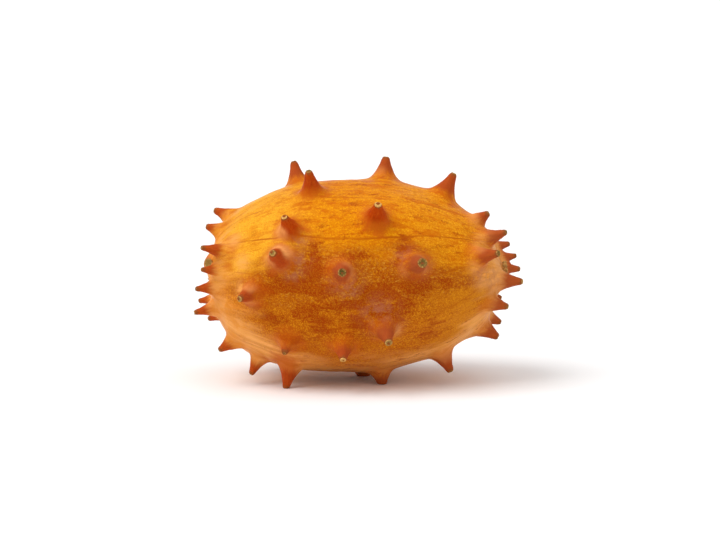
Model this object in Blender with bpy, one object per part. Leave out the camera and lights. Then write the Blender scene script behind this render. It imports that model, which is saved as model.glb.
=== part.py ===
"""Horned melon, as picked, lying on three of its horns. Metres, +Z up.

The fruit is one solid. Its long axis runs along X, with the stem stub at +X and the blossom scar at -X.
The rind is one net of points: rings that climb each horn, rings on the stub and on the scar, and even rows
between them. The net is joined up as if it lay flat on the plain body, and each point then takes its raised
place.
"""

import math
import random

import bmesh
import bpy
from mathutils import Matrix, Vector, noise
from mathutils.geometry import delaunay_2d_cdt

MM = 0.001

# Body: a blunt ellipsoid of revolution, a little slimmer towards the stem.
HALF_LENGTH = 52.0 * MM
RADIUS = 34.6 * MM
BLOSSOM_BLUNTNESS = 2.45
STEM_BLUNTNESS = 2.08
AXIS_HEIGHT = 38.3 * MM
AXIS_RISE = math.radians(1.8)

# Low relief of the rind: shallow grooves from end to end, and soft swells.
GROOVES = 10
GROOVE_DEPTH = 0.30 * MM
SWELL_HEIGHT = 0.45 * MM
SWELL_SIZE = 16.0 * MM
ROW_GAP = 3.6 * MM
MERIDIAN_STEPS = 720

# Horns: cones with a flared skirt and a blunt, corky end, each on a broad, low mound.
HORN_SIDES = 10
TIP_RADIUS = 1.25 * MM
SKIRT_RADIUS = 7.2 * MM
SKIRT_FLARE = 2.7
END_FLAT = 0.74
END_DROP = 0.035
CLIMB = (0.10, 0.25, 0.45, 0.70, 1.0)
MOUND_RADIUS = 13.0 * MM
MOUND_HEIGHT = 0.8 * MM
PLEATS = 3
PLEAT_DEPTH = 0.05
GIRTH_SPREAD = 0.06
LEAN_SPREAD = 0.03
BEND_SPREAD = 0.05
CLEARANCE = 1.2 * MM

# Horns of the near side: place along the axis from -1 to 1, turn in degrees from the front (0) up over the
# top (90), length in millimetres, girth against the usual one, and lean towards the nearer end.
NEAR_HORNS = (
    # over the top
    (-0.375, 105, 8.8, 1.0, 0.0),
    (-0.27, 67, 8.3, 1.0, 0.0),
    (0.22, 99, 7.7, 1.1, 0.0),
    (0.62, 88, 8.5, 1.0, 0.03),
    # upper flank
    (-0.415, 36, 8.8, 1.0, 0.0),
    (0.155, 41, 8.6, 1.05, 0.0),
    # middle
    (-0.485, 19, 8.6, 1.05, 0.0),
    (-0.075, 9, 8.6, 1.1, 0.0),
    (0.40, 12, 8.8, 1.1, 0.0),
    (-0.685, -3, 8.5, 0.9, 0.0),
    # lower flank
    (0.185, -25, 8.6, 1.05, 0.05),
    (-0.09, -36, 7.4, 0.95, 0.0),
    (-0.46, -37, 5.2, 0.8, 0.0),
    # underside, clear of the ground
    (-0.675, -73, 6.8, 0.8, 0.0),
    (0.575, -72, 7.4, 0.95, 0.0),
    # crown at the blossom end
    (-0.84, 104, 6.6, 0.85, 1.05),
    (-0.905, 76, 5.4, 0.75, 0.85),
    (-0.865, 34, 8.9, 0.7, 0.5),
    (-0.95, 30, 3.4, 1.5, 0.3),
    (-0.905, 17, 6.1, 0.65, 0.5),
    (-0.935, -2, 7.2, 0.7, 0.5),
    (-0.965, -140, 7.0, 0.65, 0.4),
    (-0.955, -38, 7.4, 0.7, 0.4),
    (-0.915, -130, 6.6, 0.7, 0.5),
    (-0.835, -65, 6.4, 0.8, 0.5),
    # crown at the stem end
    (0.825, 65, 5.8, 0.85, 0.25),
    (0.88, 47, 8.4, 0.9, 0.45),
    (0.94, 146, 7.8, 0.75, 0.45),
    (0.82, 21, 8.5, 0.95, 0.4),
    (0.97, 160, 7.4, 0.75, 0.4),
    (0.985, -180, 7.8, 0.75, 0.3),
    (0.97, -14, 8.3, 0.85, 0.4),
    (0.90, -35, 7.2, 0.85, 0.4),
    (0.88, -107, 7.0, 0.85, 0.5),
    (0.845, -80, 7.4, 0.95, 0.35),
)

# The three horns that the fruit lies on: place along the axis, turn, and radii of the tip and of the skirt
# in millimetres. They are as long as it takes.
FEET = (
    (-0.455, -66, 1.1, 6.8),
    (0.155, -78, 1.6, 6.4),
    (0.035, -104, 2.4, 7.4),
)

# Horns of the far side, which fall at random, no closer together than these gaps.
FAR_TURNS = (137, 236)
FAR_GAP = 17.0 * MM
FAR_END_GAP = 9.5 * MM
FAR_LENGTHS = (7.4, 9.2)
FAR_GIRTHS = (0.9, 1.1)
FAR_END_GIRTH = 0.75
FAR_END_LEAN = 0.45
FAR_TRIES = 4000
SEED = 11

# Stub of the stem and scar of the blossom, from the middle out: radius and height above the rind, in
# millimetres.
BUTTON_SIDES = 10
STEM_STUB = ((0.0, 0.9), (1.7, 1.3), (2.4, 1.4), (2.9, 0.7), (3.6, 0.1))
BLOSSOM_SCAR = ((0.0, -0.5), (1.2, -0.5), (2.1, 0.0), (2.8, 0.35), (3.8, 0.1))
BUTTON_RADIUS = 4.0 * MM

# Turns the fruit from its own frame, with its middle at the origin, to the way it lies.
LYING = Matrix.Translation((0, 0, AXIS_HEIGHT)) @ Matrix.Rotation(-AXIS_RISE, 4, "Y")
DOWN = Vector((0, 0, -1))


def smooth_step(low, high, value):
    share = min(1.0, max(0.0, (value - low) / (high - low)))
    return share * share * (3 - 2 * share)


def bluntness(x):
    return STEM_BLUNTNESS if x > 0 else BLOSSOM_BLUNTNESS


def on_body(point):
    """The place on the plain body straight out from the fruit's middle through this point."""
    n = bluntness(point.x)
    across = math.hypot(point.y, point.z)
    return point * (abs(point.x / HALF_LENGTH) ** n + (across / RADIUS) ** n) ** (-1 / n)


def normal_at(place):
    """Which way the plain body faces there."""
    n = bluntness(place.x)
    across = math.hypot(place.y, place.z)
    along = math.copysign(abs(place.x / HALF_LENGTH) ** (n - 1) / HALF_LENGTH, place.x)
    outwards = (across / RADIUS) ** (n - 1) / RADIUS / max(across, 1e-9)
    return Vector((along, place.y * outwards, place.z * outwards)).normalized()


def body_place(station, turn_deg):
    """The place on the body at a station along the axis and a turn round it."""
    n = bluntness(station)
    across = RADIUS * (1 - abs(station) ** n) ** (1 / n)
    turn = math.radians(turn_deg)
    return Vector((HALF_LENGTH * station, -across * math.cos(turn), across * math.sin(turn)))


class Horn:
    """One horn: where it stands, how it leans, and its flared profile."""

    def __init__(self, place, length, tip, skirt, lean, rng):
        self.base = place
        self.length = length
        self.tip = tip * rng.uniform(1 - GIRTH_SPREAD, 1 + GIRTH_SPREAD)
        self.skirt = skirt * rng.uniform(1 - GIRTH_SPREAD, 1 + GIRTH_SPREAD)
        self.reach = self.skirt
        self.phase = rng.uniform(0, math.tau)
        self.normal = normal_at(place)
        self.around = Vector((0, -place.z, place.y)).normalized()
        to_end = Vector((math.copysign(lean, place.x), 0, 0))
        self.axis = (self.normal + to_end + self.around * rng.uniform(-LEAN_SPREAD, LEAN_SPREAD)).normalized()
        self.bend = self.around * rng.uniform(-BEND_SPREAD, BEND_SPREAD)
        self.is_foot = False

    def share(self, radius):
        """How far up the horn its profile is, from 0 to 1, at this radius."""
        return max(0.0, min(1.0, 1 - (radius - self.tip) / (self.skirt - self.tip))) ** SKIRT_FLARE

    def flat(self, radius, angle):
        """The point of the body's tangent plane at this radius and angle round the horn."""
        other = self.normal.cross(self.around)
        return self.base + (self.around * math.cos(angle) + other * math.sin(angle)) * radius


def rind_place(point, horns, leave_out=None):
    """The raised place over a point of the body: grooves, swells, and the mounds and skirts of the horns."""
    place = on_body(point)
    turn = math.atan2(place.z, -place.y)
    fade = smooth_step(0.15, 0.6, math.hypot(place.y, place.z) / RADIUS)
    groove = GROOVE_DEPTH * fade * (0.5 + 0.5 * math.cos(GROOVES * turn)) ** 3
    swell = SWELL_HEIGHT * noise.noise(place / SWELL_SIZE)
    level = 1.0
    skirts = 0.0
    for horn in horns:
        gap = (place - horn.base).length
        level *= 1 - max(0.0, 1 - (gap / MOUND_RADIUS) ** 2) ** 2
        if horn is not leave_out:
            skirts += horn.length * horn.share(max(gap, horn.reach))
    return place + normal_at(place) * (swell - groove + MOUND_HEIGHT * (1 - level) + skirts)


def horn_point(horn, horns, radius, share, angle):
    """A point of a horn as the fruit lies: at this radius and angle, this share of the way up."""
    turned = LYING.to_3x3()
    pleated = radius * (1 + PLEAT_DEPTH * math.cos(PLEATS * angle + horn.phase) * (1 - share))
    flat = horn.flat(pleated, angle)
    root = rind_place(horn.base, horns, horn)
    sag = turned @ (rind_place(flat, horns, horn) - flat - (root - horn.base))
    end_facing = DOWN if horn.is_foot else turned @ horn.axis
    facing = (turned @ horn.normal).lerp(end_facing, share).normalized()
    around = turned @ horn.around
    across = (around - facing * around.dot(facing)).normalized()
    spread = across * math.cos(angle) + facing.cross(across) * math.sin(angle)
    spine = LYING @ (root + (horn.axis * share + horn.bend * share * share) * horn.length)
    return spine + spread * pleated + sag * (1 - smooth_step(0.1, 0.6, share))


class Net:
    """The rind's points. Each has its own place, and one on a flat chart of the body, to be joined up by."""

    def __init__(self):
        self.chart = []
        self.places = []
        self.rings = []
        self.cork = set()

    def add(self, on_the_body, place, cork=False):
        """Charts a point by the stereographic view of the body from its stem end."""
        ray = on_the_body.normalized()
        spread = Vector((ray.y, ray.z))
        away = (1 + ray.x) / spread.length_squared if ray.x > 0 else 1 / (1 - ray.x)
        if cork:
            self.cork.add(len(self.places))
        self.chart.append(spread * away)
        self.places.append(place)

    def close_ring(self, count):
        """Ties the last points to each other in a ring."""
        first = len(self.places) - count
        self.rings += [(first + i, first + (i + 1) % count) for i in range(count)]

    def join(self, stem_end):
        """A closed mesh on the points, with stem_end as the one that the chart can't show."""
        _, _, triangles, origins, _, _ = delaunay_2d_cdt(self.chart, self.rings, [], 0, 1e-9)
        bm = bmesh.new()
        verts = [bm.verts.new(place) for place in self.places]
        for triangle in triangles:
            bm.faces.new([verts[origins[corner][0]] for corner in triangle])
        pole = bm.verts.new(stem_end)
        for edge in [e for e in bm.edges if e.is_boundary]:
            bm.faces.new([edge.verts[0], edge.verts[1], pole])
        cork = {verts[index] for index in self.cork} | {pole}
        for face in bm.faces:
            face.material_index = int(cork.issuperset(face.verts))
            face.smooth = True
        bmesh.ops.recalc_face_normals(bm, faces=bm.faces[:])
        return bm


def add_horn(net, horn, horns):
    """The horn's rings, from its flat end down to the edge of its skirt."""
    radii = [horn.tip * END_FLAT] + [horn.tip + (horn.reach - horn.tip) * step for step in (0.0,) + CLIMB]
    net.add(horn.base, horn_point(horn, horns, 0, 1, 0), cork=True)
    for number, radius in enumerate(radii):
        share = horn.share(radius) * (1 - END_DROP) if number else 1.0
        charted = horn.reach * (number + 1) / len(radii)
        for side in range(HORN_SIDES):
            angle = math.tau * (side + 0.5 * (number % 2)) / HORN_SIDES
            net.add(horn.flat(charted, angle), horn_point(horn, horns, radius, share, angle), cork=number < 2)
        net.close_ring(HORN_SIDES)


def far_places(taken):
    """Places for the far side's horns, at random but never too close together."""
    rng = random.Random(SEED)
    found = []
    for _ in range(FAR_TRIES):
        place = on_body(Vector([rng.gauss(0, 1) for _ in range(3)]))
        turn = math.degrees(math.atan2(place.z, -place.y)) % 360
        to_end = smooth_step(0.55, 0.88, abs(place.x) / HALF_LENGTH)
        gap = FAR_GAP + (FAR_END_GAP - FAR_GAP) * to_end
        clear_of_others = all((place - other).length > gap for other in taken + found)
        clear_of_ends = HALF_LENGTH - abs(place.x) > 3 * MM
        if FAR_TURNS[0] < turn < FAR_TURNS[1] and clear_of_others and clear_of_ends:
            found.append(place)
    return found


def all_horns():
    rng = random.Random(SEED)
    horns = []
    for along, turn, length, girth, lean in NEAR_HORNS:
        place = body_place(along, turn)
        horns.append(Horn(place, length * MM, TIP_RADIUS * girth, SKIRT_RADIUS * girth, lean, rng))
    for along, turn, tip, skirt in FEET:
        foot = Horn(body_place(along, turn), 0, tip * MM, skirt * MM, 0, rng)
        foot.is_foot = True
        foot.axis = foot.normal
        foot.bend = Vector()
        horns.append(foot)
    for place in far_places([horn.base for horn in horns]):
        to_end = smooth_step(0.70, 0.86, abs(place.x) / HALF_LENGTH)
        girth = rng.uniform(*FAR_GIRTHS) * (1 + (FAR_END_GIRTH - 1) * to_end)
        length = rng.uniform(*FAR_LENGTHS) * MM
        lean = FAR_END_LEAN * to_end
        horns.append(Horn(place, length, TIP_RADIUS * girth, SKIRT_RADIUS * girth, lean, rng))
    for horn in horns:
        gaps = [(horn.base - other.base).length for other in horns if other is not horn]
        end = Vector((math.copysign(HALF_LENGTH, horn.base.x), 0, 0))
        horn.reach = min(horn.skirt, 0.46 * min(gaps), (horn.base - end).length - BUTTON_RADIUS)
    for horn in horns:
        stand(horn, horns)
    return horns


def stand(horn, horns):
    """A foot is as long as it takes to reach the ground, and any other horn stays clear of it."""
    height = (LYING @ rind_place(horn.base, horns, horn)).z
    fall = -(LYING.to_3x3() @ horn.axis).z
    if horn.is_foot:
        horn.length = height / fall
    elif fall > 0.2:
        horn.length = min(horn.length, (height - CLEARANCE) / fall)


def add_button(net, horns, profile, end):
    """Rings of a stub or scar at one end of the axis: end is 1 for the stem end. Gives the middle point."""
    middle = Vector((end * HALF_LENGTH, 0, 0))
    for radius, height in profile[1:]:
        for side in range(BUTTON_SIDES):
            angle = math.tau * side / BUTTON_SIDES
            flat = middle + Vector((0, math.cos(angle), math.sin(angle))) * radius * MM
            raised = rind_place(flat, horns) + Vector((end * height * MM, 0, 0))
            net.add(flat, LYING @ raised, cork=height > 1)
        net.close_ring(BUTTON_SIDES)
    return middle, LYING @ (rind_place(middle, horns) + Vector((end * profile[0][1] * MM, 0, 0)))


def meridian():
    """Evenly spaced points from end to end of the body, as (place along the axis, distance from it)."""
    angles = [math.pi * step / MERIDIAN_STEPS for step in range(MERIDIAN_STEPS + 1)]
    line = [on_body(Vector((math.cos(angle), 0, math.sin(angle)))) for angle in angles]
    walked = [0.0]
    for here, there in zip(line, line[1:]):
        walked.append(walked[-1] + (there - here).length)
    rows = round(walked[-1] / ROW_GAP)
    spots = []
    for row in range(1, rows):
        spot = line[next(i for i, length in enumerate(walked) if length >= walked[-1] * row / rows)]
        spots.append((spot.x, spot.z))
    return spots


def add_rows(net, horns):
    """Even rows round the body, wherever no horn, stub or scar stands."""
    for row, (along, across) in enumerate(meridian()):
        if across < BUTTON_RADIUS + 0.4 * ROW_GAP:
            continue
        count = round(math.tau * across / ROW_GAP)
        for step in range(count):
            turn = math.tau * (step + 0.5 * (row % 2)) / count
            place = Vector((along, across * math.cos(turn), across * math.sin(turn)))
            if all((place - horn.base).length > horn.reach + 0.4 * ROW_GAP for horn in horns):
                net.add(place, LYING @ rind_place(place, horns))


def centre(bm):
    """Moves the fruit sideways until the middle of its box is over the origin."""
    for axis in range(2):
        values = [vert.co[axis] for vert in bm.verts]
        middle = (min(values) + max(values)) / 2
        for vert in bm.verts:
            vert.co[axis] -= middle


def paint(name, colour, roughness):
    material = bpy.data.materials.new(name)
    material.use_nodes = True
    shader = material.node_tree.nodes["Principled BSDF"]
    shader.inputs["Base Color"].default_value = (*colour, 1)
    shader.inputs["Roughness"].default_value = roughness
    return material


def build():
    for old in list(bpy.data.objects):
        bpy.data.objects.remove(old)
    net = Net()
    horns = all_horns()
    for horn in horns:
        add_horn(net, horn, horns)
    net.add(*add_button(net, horns, BLOSSOM_SCAR, -1))
    _, stem_end = add_button(net, horns, STEM_STUB, 1)
    add_rows(net, horns)
    bm = net.join(stem_end)
    centre(bm)
    mesh = bpy.data.meshes.new("horned_melon")
    bm.to_mesh(mesh)
    bm.free()
    mesh.materials.append(paint("rind", (0.62, 0.21, 0.02), 0.45))
    mesh.materials.append(paint("cork", (0.24, 0.17, 0.09), 0.85))
    bpy.context.scene.collection.objects.link(bpy.data.objects.new("horned_melon", mesh))


build()
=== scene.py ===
import math

import bmesh
import bpy
import numpy as np
from mathutils import Matrix, Vector


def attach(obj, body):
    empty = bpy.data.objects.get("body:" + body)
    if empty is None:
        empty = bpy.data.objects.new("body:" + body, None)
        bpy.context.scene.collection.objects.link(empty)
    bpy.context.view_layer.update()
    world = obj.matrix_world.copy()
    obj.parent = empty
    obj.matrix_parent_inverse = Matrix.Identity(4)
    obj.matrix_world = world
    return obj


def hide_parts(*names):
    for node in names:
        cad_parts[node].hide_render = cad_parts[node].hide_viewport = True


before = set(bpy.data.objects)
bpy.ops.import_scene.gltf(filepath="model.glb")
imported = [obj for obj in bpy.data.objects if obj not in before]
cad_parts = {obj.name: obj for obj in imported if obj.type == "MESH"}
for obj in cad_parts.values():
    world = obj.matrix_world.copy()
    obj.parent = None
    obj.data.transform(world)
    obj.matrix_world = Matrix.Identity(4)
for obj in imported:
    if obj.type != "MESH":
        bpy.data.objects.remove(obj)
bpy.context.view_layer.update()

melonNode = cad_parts["horned_melon"]

# the plain body under the horns, in metres
body = {
    "middle": (-0.001342, 0.000122, 0.0383),
    "rise": math.radians(1.8),  # the stem end lies a little higher
    "halfLength": 0.052,
    "radius": 0.0346,
    "blossomBluntness": 2.45,
    "stemBluntness": 2.08,
}
lying = Matrix.Translation(body["middle"]) @ Matrix.Rotation(-body["rise"], 4, "Y")


def onBody(station, turn):
    # station runs from -1 at the blossom to 1 at the stem, and turn is in degrees from the front upwards
    bluntness = body["stemBluntness"] if station > 0 else body["blossomBluntness"]
    across = body["radius"] * (1 - abs(station) ** bluntness) ** (1 / bluntness)
    angle = math.radians(turn)
    return Vector((body["halfLength"] * station, -across * math.cos(angle), across * math.sin(angle)))


def intoFruit(places):
    # rows of world places, seen in the fruit's own frame
    turned = np.array(lying.to_3x3())
    return (places - np.array(body["middle"])) @ turned


def overBody(local):
    # how far each place stands over the plain body
    bluntness = np.where(local[:, 0] > 0, body["stemBluntness"], body["blossomBluntness"])
    lengthwise = np.abs(local[:, 0] / body["halfLength"]) ** bluntness
    across = (np.hypot(local[:, 1], local[:, 2]) / body["radius"]) ** bluntness
    size = (lengthwise + across) ** (1 / bluntness)
    return np.linalg.norm(local, axis=1) * (1 - 1 / size)


def standsAt(horn, station, turn, within):
    return (lying @ onBody(station, turn) - horn["root"]).length < within


def placesOf(mesh):
    flat = np.empty(len(mesh.vertices) * 3)
    mesh.vertices.foreach_get("co", flat)
    return flat.reshape(-1, 3)


def setPlaces(mesh, places):
    mesh.vertices.foreach_set("co", places.ravel())
    mesh.update()


def keepOverGround(mesh):
    places = placesOf(mesh)
    places[:, 2] = np.maximum(places[:, 2], 0.0)
    setPlaces(mesh, places)


def softStep(low, high, value):
    share = np.clip((value - low) / (high - low), 0, 1)
    return share * share * (3 - 2 * share)


def giveAttribute(mesh, name, values):
    kind, field = ("FLOAT_VECTOR", "vector") if values.ndim == 2 else ("FLOAT", "value")
    layer = mesh.attributes.new(name, kind, "POINT")
    layer.data.foreach_set(field, np.ascontiguousarray(values, dtype=np.float32).ravel())


def pickOnly(piece):
    bpy.ops.object.select_all(action="DESELECT")
    piece.select_set(True)
    bpy.context.view_layer.objects.active = piece


def editAll(piece):
    pickOnly(piece)
    bpy.ops.object.mode_set(mode="EDIT")
    bpy.ops.mesh.select_mode(type="FACE")
    bpy.ops.mesh.select_all(action="SELECT")


def editTop(piece):
    # a new cylinder, with only its top face picked
    bpy.ops.object.mode_set(mode="EDIT")
    bm = bmesh.from_edit_mesh(piece.data)
    for face in bm.faces:
        face.select_set(face.normal.z > 0.9)
    bmesh.update_edit_mesh(piece.data)


def insetSteps(steps):
    for thickness, depth in steps:
        bpy.ops.mesh.inset(thickness=thickness, depth=depth)


def backToObject():
    bpy.ops.object.mode_set(mode="OBJECT")


def joinPieces(pieces):
    pickOnly(pieces[0])
    for piece in pieces:
        piece.select_set(True)
    bpy.ops.object.join()


def applyAll(piece):
    pickOnly(piece)
    for modifier in list(piece.modifiers):
        bpy.ops.object.modifier_apply(modifier=modifier.name)


def makeFiner(piece, levels):
    finer = piece.modifiers.new("finer", "SUBSURF")
    finer.levels = finer.render_levels = levels
    applyAll(piece)


def addRoughening(piece, name, size, strength, group="", depth=2):
    texture = bpy.data.textures.new(name, "CLOUDS")
    texture.noise_scale = size
    texture.noise_depth = depth
    modifier = piece.modifiers.new(name, "DISPLACE")
    modifier.texture = texture
    modifier.texture_coords = "GLOBAL"
    modifier.mid_level = 0.5
    modifier.strength = strength
    modifier.vertex_group = group


def finishPiece(piece, material):
    piece.data.materials.clear()
    piece.data.materials.append(material)
    pickOnly(piece)
    bpy.ops.object.shade_smooth()
    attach(piece, "root")


# short ways to add the nodes of a material
def addNode(tree, kind, sockets=None, **settings):
    made = tree.nodes.new(kind)
    for name, value in settings.items():
        setattr(made, name, value)
    for name, value in (sockets or {}).items():
        if isinstance(value, bpy.types.NodeSocket):
            tree.links.new(value, made.inputs[name])
        else:
            made.inputs[name].default_value = value
    return made


def calc(tree, operation, first, second=0.0, clamp=False):
    sockets = {0: first, 1: second}
    return addNode(tree, "ShaderNodeMath", sockets, operation=operation, use_clamp=clamp).outputs[0]


def plus(tree, first, second, clamp=False):
    return calc(tree, "ADD", first, second, clamp)


def minus(tree, first, second):
    return calc(tree, "SUBTRACT", first, second)


def times(tree, first, second):
    return calc(tree, "MULTIPLY", first, second)


def vectorCalc(tree, operation, *values, output=0):
    return addNode(tree, "ShaderNodeVectorMath", dict(enumerate(values)), operation=operation).outputs[output]


def fade(tree, value, low, high, start=0.0, end=1.0):
    # from start to end while the value goes from low to high
    sockets = {"Value": value, "From Min": low, "From Max": high, "To Min": start, "To Max": end}
    return addNode(tree, "ShaderNodeMapRange", sockets, interpolation_type="SMOOTHSTEP").outputs[0]


def blend(tree, share, first, second):
    made = addNode(tree, "ShaderNodeMix", data_type="RGBA")
    for socket, value in ((made.inputs[0], share), (made.inputs[6], first), (made.inputs[7], second)):
        if isinstance(value, bpy.types.NodeSocket):
            tree.links.new(value, socket)
        else:
            socket.default_value = (*value, 1) if isinstance(value, tuple) else value
    return made.outputs[2]


def stretch(tree, where, scale):
    return addNode(tree, "ShaderNodeMapping", {"Vector": where, "Scale": scale}).outputs[0]


def grain(tree, where, scale, detail=2.0, roughness=0.5):
    sockets = {"Vector": where, "Scale": scale, "Detail": detail, "Roughness": roughness}
    return addNode(tree, "ShaderNodeTexNoise", sockets).outputs["Fac"]


def longGrain(tree, where, lengthwise, across, detail=2.0, roughness=0.5):
    # grain drawn out along the fruit: the lower a number, the longer the grain runs that way
    return grain(tree, stretch(tree, where, (lengthwise, across, across)), 1.0, detail, roughness)


def cells(tree, where, feature="F1", output="Distance"):
    sockets = {"Vector": where, "Scale": 1.0}
    return addNode(tree, "ShaderNodeTexVoronoi", sockets, feature=feature).outputs[output]


def attribute(tree, name, output="Fac"):
    return addNode(tree, "ShaderNodeAttribute", attribute_name=name).outputs[output]


def newMaterial(name):
    material = bpy.data.materials.new(name)
    material.use_nodes = True
    return material, material.node_tree.nodes["Principled BSDF"]


def wireShader(tree, shader, colour, roughness, bump, look):
    tree.links.new(colour, shader.inputs["Base Color"])
    tree.links.new(roughness, shader.inputs["Roughness"])
    tree.links.new(bump.outputs[0], shader.inputs["Normal"])
    shader.inputs["Specular IOR Level"].default_value = look["shine"]
    shader.inputs["Specular Tint"].default_value = (*look["shineTint"], 1)


# the skin: the solid made finer, with its horns found again
skinValues = {
    "cuts": 3,
    "roundness": 1.0,
    "smoothing": 0.5,
    "smoothingRounds": 2,
    "swellSize": 0.0055,
    "swellHeight": 0.00025,
    "lumpSize": 0.0016,
    "lumpHeight": 0.00022,
    "footHeight": 0.0015,  # below this nothing is smoothed, so the feet stay flat
    "endSides": 10,  # a horn's flat end has ten sides
    "endShare": 0.74,  # how much of its girth a horn keeps at its flat end
    "leastHorn": 0.0025,  # over the plain body
    "redness": 0.75,
    "stemPaling": 0.4,  # how much less red the horns are round the stem
    "spread": -0.2,  # how much further down a horn its red runs, in millimetres
    # a short broad horn leans to the front: station, turn and how far
    "leaning": (-0.95, 30, math.radians(42)),
    # where the painted lavender sheen lies, a reflection painted into the colour: station, turn and reach in
    # millimetres, as in all the lists below
    "sheenSpots": (
        (-0.37, 17, 3.0), (-0.45, 14, 2.4), (-0.40, 9, 2.4), (-0.36, 29, 2.4), (-0.06, 3, 3.8),
        (-0.02, -2, 2.8), (0.15, -14, 4.6), (0.42, 12, 3.6), (0.20, -25, 4.0), (0.84, 6, 3.4),
        (0.92, -2, 4.0), (0.33, 92, 2.6), (0.34, 17, 3.0), (-0.30, 160, 3.8), (0.20, 150, 3.4),
        (0.48, 205, 3.8), (-0.10, 215, 4.0), (-0.52, 196, 3.2), (0.05, 186, 2.8), (-0.30, -95, 3.0),
        (0.60, 170, 3.0),
    ),
    # painted highlights, pale peach, beside some horns: station, turn and reach
    "highlightSpots": (
        (-0.545, 19, 2.6), (-0.475, 35, 2.6), (0.80, 12, 2.6), (0.82, 62, 3.4), (-0.76, 0, 2.6),
        (0.86, 0, 3.6), (0.26, -28, 2.4), (0.34, 10, 2.0), (-0.90, 12, 3.4), (0.80, -50, 3.4),
        (0.84, 170, 3.2), (-0.86, 190, 3.4), (0.85, 75, 3.2), (0.85, 38, 3.0), (0.95, 6, 4.5),
        (-0.80, 40, 3.0), (-0.75, 20, 3.0),
    ),
    # where the rind is a deeper red: station, turn, reach along and around, and strength
    "redSpots": (
        (-0.26, 13, 3.2, 7.5, 0.95), (0.33, 19, 3.6, 5.5, 0.72), (0.36, 10, 4.0, 4.0, 1.0),
        (0.40, -1, 7.0, 4.2, 1.1), (0.16, -4, 9.0, 3.4, 1.1), (0.13, -13, 4.0, 3.0, 0.8),
        # the long spot just right of the horn at station -0.685, turn -3 is partly red rind and partly a
        # painted shadow of that horn
        (-0.57, 0, 7.0, 2.2, 0.95), (-0.43, 2, 9.0, 2.8, 1.0), (-0.26, 0, 6.0, 3.4, 1.1),
        (-0.23, -4, 3.0, 3.2, 1.0), (0.06, -3, 3.4, 3.0, 1.0), (-0.24, -19, 4.0, 5.5, 0.62),
        (-0.55, -20, 9.0, 2.2, 0.70), (0.22, -17, 9.0, 3.8, 0.95), (0.47, -33, 7.0, 4.0, 0.40),
        (0.62, 0, 6.0, 3.0, 0.60), (-0.30, -13, 7.0, 3.5, 0.80), (0.02, -21, 6.0, 4.0, 0.72),
        (-0.42, -33, 6.0, 3.6, 0.62), (-0.02, -10, 8.0, 2.4, 0.95), (0.33, -9, 5.0, 3.0, 0.85),
        (-0.35, 168, 9.0, 4.5, 1.0), (0.30, 158, 7.0, 5.5, 1.0), (0.10, 196, 10.0, 4.5, 1.0),
        (-0.52, 207, 8.0, 3.4, 0.75), (0.56, 188, 9.0, 3.6, 0.85), (-0.85, 31, 3.0, 1.8, 1.0),
        (-0.10, 232, 7.0, 4.0, 0.75), (0.40, 224, 8.0, 3.4, 0.75), (0.005, 17, 3.6, 2.4, 0.75),
        (-0.20, 178, 7.0, 3.6, 0.9), (0.02, 148, 4.0, 5.0, 0.9), (-0.60, 150, 7.0, 3.4, 0.8),
        (-0.535, 10, 2.8, 2.4, 0.8), (-0.66, -11, 4.5, 1.7, 0.9),
    ),
    # a painted highlight makes one flank of some horns pale: station, turn, which way it faces in degrees,
    # how pale, and reach
    "flanks": (
        (-0.485, 19, 58, 1.15, 6.0), (-0.485, 19, 180, 0.9, 5.2), (-0.415, 36, 190, 0.95, 5.6),
        (-0.685, -3, 105, 0.55, 5.0), (-0.685, -3, 245, 0.35, 4.8), (-0.075, 9, 15, 0.45, 5.2),
        (0.40, 12, 20, 0.35, 5.2), (0.82, 21, 110, 0.35, 5.2), (-0.35, 168, 40, 0.6, 5.2),
        (0.30, 158, 60, 0.4, 5.2), (0.88, 47, 180, 0.25, 5.2), (0.825, 65, 180, 0.4, 5.2),
        (0.575, -72, 60, 0.35, 5.2), (0.90, -35, 150, 0.2, 5.2), (0.22, 99, 200, 0.3, 6.0),
    ),
    # horns that differ from the usual one: station, turn, redness, and how much further down it spreads
    "oddHorns": (
        (-0.075, 9, 0.25, -0.9), (0.40, 12, 0.10, -1.1), (0.185, -25, 0.25, -0.7), (-0.485, 19, 0.70, 0.5),
        (-0.685, -3, 0.55, -1.2), (-0.09, -36, 0.45, -0.4), (-0.46, -37, 0.45, -0.9), (0.82, 21, 0.40, -0.4),
        (-0.415, 36, 1.0, 0.3), (0.155, 41, 1.0, 0.2), (-0.27, 67, 0.9, 0.1), (-0.375, 105, 0.45, -0.3),
        (0.22, 99, 0.40, -0.3), (0.62, 88, 0.50, 0.8), (0.155, -78, 0.25, 0.6), (0.575, -72, 0.40, 0.7),
        (0.30, 190, 0.3, -0.8), (-0.20, 200, 0.3, -0.8),
    ),
}


def rebuildHornEnds(skin):
    # a horn's flat end comes as slim faces that meet at one corner: it gets a middle point instead
    bpy.ops.mesh.select_all(action="DESELECT")
    bm = bmesh.from_edit_mesh(skin.data)
    for vert in bm.verts:
        faces = vert.link_faces
        if len(faces) != skinValues["endSides"] + 1:
            continue
        level = [[other for other in faces if other.normal.dot(face.normal) > 0.9995] for face in faces]
        for face in max(level, key=len):
            face.select_set(True)
    bmesh.update_edit_mesh(skin.data)
    bpy.ops.mesh.dissolve_faces()
    bpy.ops.mesh.poke()
    bpy.ops.mesh.select_all(action="SELECT")


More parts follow.
